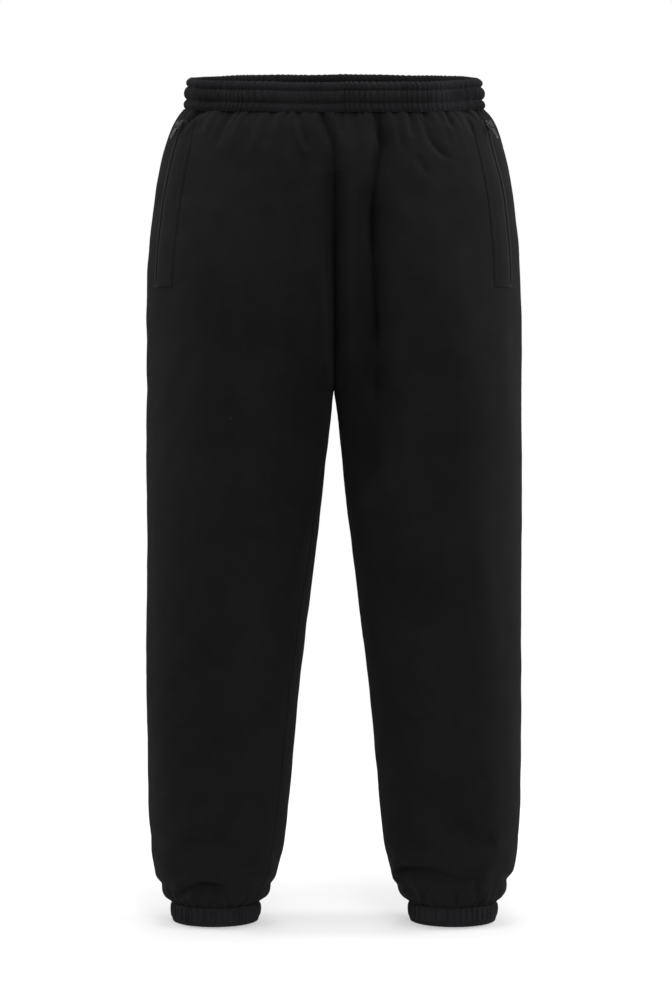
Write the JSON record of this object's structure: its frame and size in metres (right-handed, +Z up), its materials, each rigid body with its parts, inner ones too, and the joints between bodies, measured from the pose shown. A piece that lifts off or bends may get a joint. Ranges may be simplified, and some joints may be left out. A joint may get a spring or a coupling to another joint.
{
  "type": "jogger sweatpants",
  "caption": "Loose fleece jogger sweatpants with a gathered elastic waistband, gathered elastic ankle cuffs and zipped side pockets, filled out as worn and hollow inside.",
  "frame": {"origin": "middle of the waist opening, level with the top of the waistband at the side seams, where the wearer holds the garment up", "axes": "+Z up from the cuffs to the waist, -Y towards the wearer's front, +X towards the wearer's left"},
  "size_m": [0.4506, 0.2815, 1.0277],
  "materials": {
    "fleece": "black brushed cotton fleece, matt, short nap",
    "casing": "the same black fleece gathered on elastic, matt",
    "zip_tape": "black woven zip tape with a black nylon coil",
    "zip_metal": "gunmetal zip slider and pull, satin"
  },
  "bodies": {
    "garment": {"front_left": "fleece", "back_left": "fleece", "waistband_left": "casing", "cuff_left": "casing", "pocket_welt_left": "fleece", "zip_left": "zip_tape", "zip_slider_left": "zip_metal", "front_right": "fleece", "back_right": "fleece", "waistband_right": "casing", "cuff_right": "casing", "pocket_welt_right": "fleece", "zip_right": "zip_tape", "zip_slider_right": "zip_metal"},
    "pull_left": {"zip_pull_left": "zip_metal"},
    "pull_right": {"zip_pull_right": "zip_metal"}
  },
  "joints": [
    {"name": "pull_hinge_left", "type": "hinge", "parent": "garment", "child": "pull_left", "pos_m": [0.18426, -0.04695, -0.0586], "axis": [-0.5466, -0.8372, -0.0164], "range_deg": [0, 150]},
    {"name": "pull_hinge_right", "type": "hinge", "parent": "garment", "child": "pull_right", "pos_m": [-0.18426, -0.04695, -0.0586], "axis": [-0.5466, 0.8372, 0.0164], "range_deg": [0, 150]}
  ]
}
